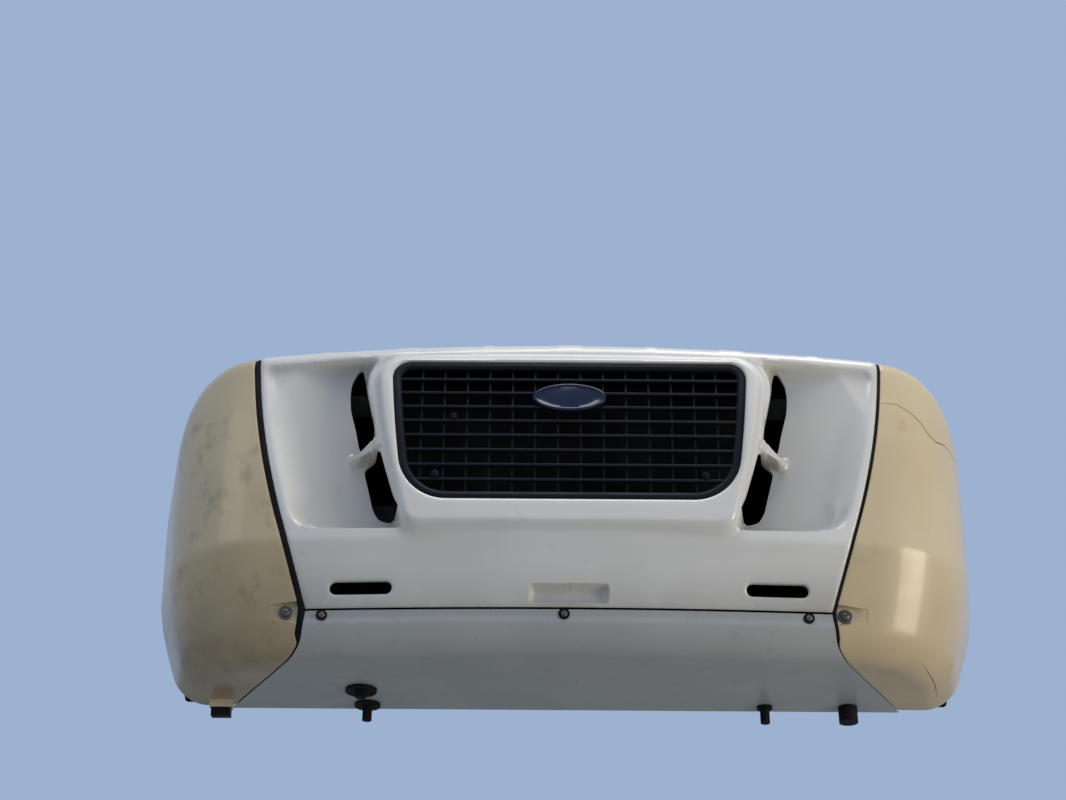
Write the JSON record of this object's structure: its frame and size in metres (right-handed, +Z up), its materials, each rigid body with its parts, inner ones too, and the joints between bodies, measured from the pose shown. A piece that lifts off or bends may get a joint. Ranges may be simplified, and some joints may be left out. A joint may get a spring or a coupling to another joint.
{
  "type": "nose-mounted truck refrigeration unit",
  "caption": "Wide refrigeration unit for the front wall of an insulated truck body: lift-up front cover with a grille, side doors that swing, and an evaporator behind the wall.",
  "frame": {"origin": "centre of the four main mounting holes, on the mounting frame's wall face", "axes": "+X towards the side that is at the right seen from the front, +Y through the wall into the body, +Z up"},
  "size_m": [1.9306, 0.74, 0.8121],
  "materials": {
    "cover_gelcoat": "gloss",
    "door_gelcoat": "gloss",
    "panel_paint": "satin",
    "grille_plastic": "satin",
    "seal_rubber": "matte",
    "frame_paint": "satin",
    "coil_aluminium": "finned",
    "engine_paint": "painted",
    "liner_white": "gloss",
    "fan_plastic": "moulded",
    "zinc_steel": "zinc plated"
  },
  "bodies": {
    "unit": {"mounting_frame": "frame_paint", "wall_gasket": "seal_rubber", "bulkhead": "liner_white", "frame_posts": "frame_paint", "frame_rails": "frame_paint", "frame_arms": "frame_paint", "top_panel": "panel_paint", "outlet_guard": "frame_paint", "condenser_coil": "coil_aluminium", "condenser_motor": "frame_paint", "engine_block": "engine_paint", "compressor": "engine_paint", "lower_panel": "panel_paint", "left_seal_post": "seal_rubber", "right_seal_post": "seal_rubber", "drain_bung": "seal_rubber", "left_drain_outlet": "seal_rubber", "right_drain_outlet": "seal_rubber", "cable_spout": "seal_rubber", "left_hinge_brackets": "zinc_steel", "right_hinge_brackets": "zinc_steel", "cover_hinge_brackets": "zinc_steel", "evaporator_housing": "liner_white", "evaporator_coil": "coil_aluminium", "return_grille": "liner_white", "left_evaporator_motor": "frame_paint", "right_evaporator_motor": "frame_paint", "evaporator_guards": "frame_paint"},
    "cover": {"front_cover": "cover_gelcoat", "grille": "grille_plastic", "badge_pad": "grille_plastic", "cover_hinge_leaves": "zinc_steel"},
    "left_door": {"left_door": "door_gelcoat", "left_latch": "zinc_steel", "left_hinge_leaves": "zinc_steel", "left_door_tab": "door_gelcoat", "left_door_stop": "seal_rubber"},
    "right_door": {"right_door": "door_gelcoat", "right_latch": "zinc_steel", "right_hinge_leaves": "zinc_steel"},
    "condenser_fan": {"condenser_fan": "fan_plastic"},
    "left_evaporator_fan": {"left_evaporator_fan": "fan_plastic"},
    "right_evaporator_fan": {"right_evaporator_fan": "fan_plastic"}
  },
  "joints": [
    {"name": "cover_lift", "type": "hinge", "parent": "unit", "child": "cover", "pos_m": [0, -0.3, 0.389], "axis": [-1, 0, 0], "range_deg": [0, 70]},
    {"name": "left_door_swing", "type": "hinge", "parent": "unit", "child": "left_door", "pos_m": [-0.925, -0.06, 0], "axis": [0, 0, -1], "range_deg": [0, 100]},
    {"name": "right_door_swing", "type": "hinge", "parent": "unit", "child": "right_door", "pos_m": [0.925, -0.06, 0], "axis": [0, 0, 1], "range_deg": [0, 100]},
    {"name": "condenser_fan_spin", "type": "hinge", "parent": "unit", "child": "condenser_fan", "pos_m": [0, -0.15, 0.346], "axis": [0, 0, 1], "continuous": true},
    {"name": "left_evaporator_fan_spin", "type": "hinge", "parent": "unit", "child": "left_evaporator_fan", "pos_m": [-0.27, 0.248, 0.08], "axis": [0, 1, 0], "continuous": true},
    {"name": "right_evaporator_fan_spin", "type": "hinge", "parent": "unit", "child": "right_evaporator_fan", "pos_m": [0.27, 0.248, 0.08], "axis": [0, 1, 0], "continuous": true}
  ]
}
